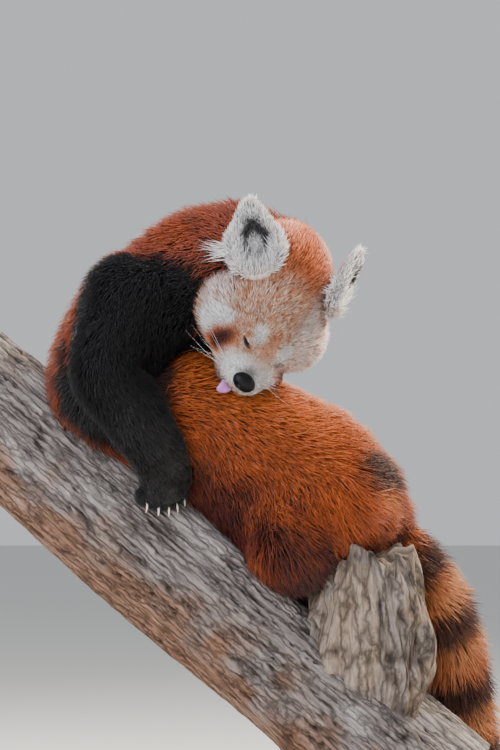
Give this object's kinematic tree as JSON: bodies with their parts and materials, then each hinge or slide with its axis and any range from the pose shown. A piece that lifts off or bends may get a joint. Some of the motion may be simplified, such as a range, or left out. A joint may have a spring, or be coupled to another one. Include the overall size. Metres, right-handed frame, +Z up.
{
  "type": "red panda",
  "caption": "Life-size red panda curled on a leaning length of trunk, licking its flank, with its ringed tail hanging down, on a flat display stand.",
  "frame": {"origin": "middle of the underside of the stand's base", "axes": "+Z up, +X to the viewer's right, +Y away from the viewer"},
  "size_m": [0.5147, 0.3006, 0.6827],
  "materials": {
    "coat_rust": "long soft fur, matt",
    "coat_black": "short dense fur, matt",
    "coat_white": "soft fur, matt",
    "coat_ring_pale": "long bushy fur, matt",
    "coat_ring_dark": "long bushy fur, matt",
    "eye": "wet gloss",
    "nose": "moist, fine grained",
    "tongue": "moist, soft",
    "claw": "horn, satin",
    "bark": "furrowed bark, weathered",
    "broken_wood": "splintered and flaking, weathered",
    "base_wood": "stained and satin lacquered",
    "rod_steel": "satin"
  },
  "bodies": {
    "root": {"perch_trunk": "bark", "perch_stub": "broken_wood", "stand_base": "base_wood", "stand_rod_1": "rod_steel", "stand_rod_2": "rod_steel", "head": "coat_rust", "nose": "nose", "tongue": "tongue", "eye_right": "eye", "eye_left": "eye", "ear_right": "coat_white", "ear_left": "coat_white", "foreleg_right_claw_1": "claw", "foreleg_right_claw_2": "claw", "foreleg_right_claw_3": "claw", "foreleg_right_claw_4": "claw", "foreleg_right_claw_5": "claw", "foreleg_right_paw": "coat_black", "foreleg_right_lower": "coat_black", "foreleg_right_upper": "coat_black", "foreleg_left_claw_1": "claw", "foreleg_left_claw_2": "claw", "foreleg_left_claw_3": "claw", "foreleg_left_claw_4": "claw", "foreleg_left_claw_5": "claw", "foreleg_left_paw": "coat_black", "foreleg_left_lower": "coat_black", "foreleg_left_upper": "coat_black", "hindleg_left_claw_1": "claw", "hindleg_left_claw_2": "claw", "hindleg_left_claw_3": "claw", "hindleg_left_claw_4": "claw", "hindleg_left_claw_5": "claw", "hindleg_left_paw": "coat_black", "hindleg_left_lower": "coat_black", "hindleg_left_upper": "coat_black", "hindleg_right_claw_1": "claw", "hindleg_right_claw_2": "claw", "hindleg_right_claw_3": "claw", "hindleg_right_claw_4": "claw", "hindleg_right_claw_5": "claw", "hindleg_right_paw": "coat_black", "hindleg_right_lower": "coat_black", "hindleg_right_upper": "coat_black", "rump": "coat_rust", "flank": "coat_rust", "loin": "coat_rust", "chest": "coat_rust", "shoulders": "coat_rust", "neck": "coat_rust", "tail_1": "coat_ring_pale", "tail_2": "coat_ring_dark", "tail_3": "coat_ring_pale", "tail_4": "coat_ring_dark"}
  },
  "joints": []
}
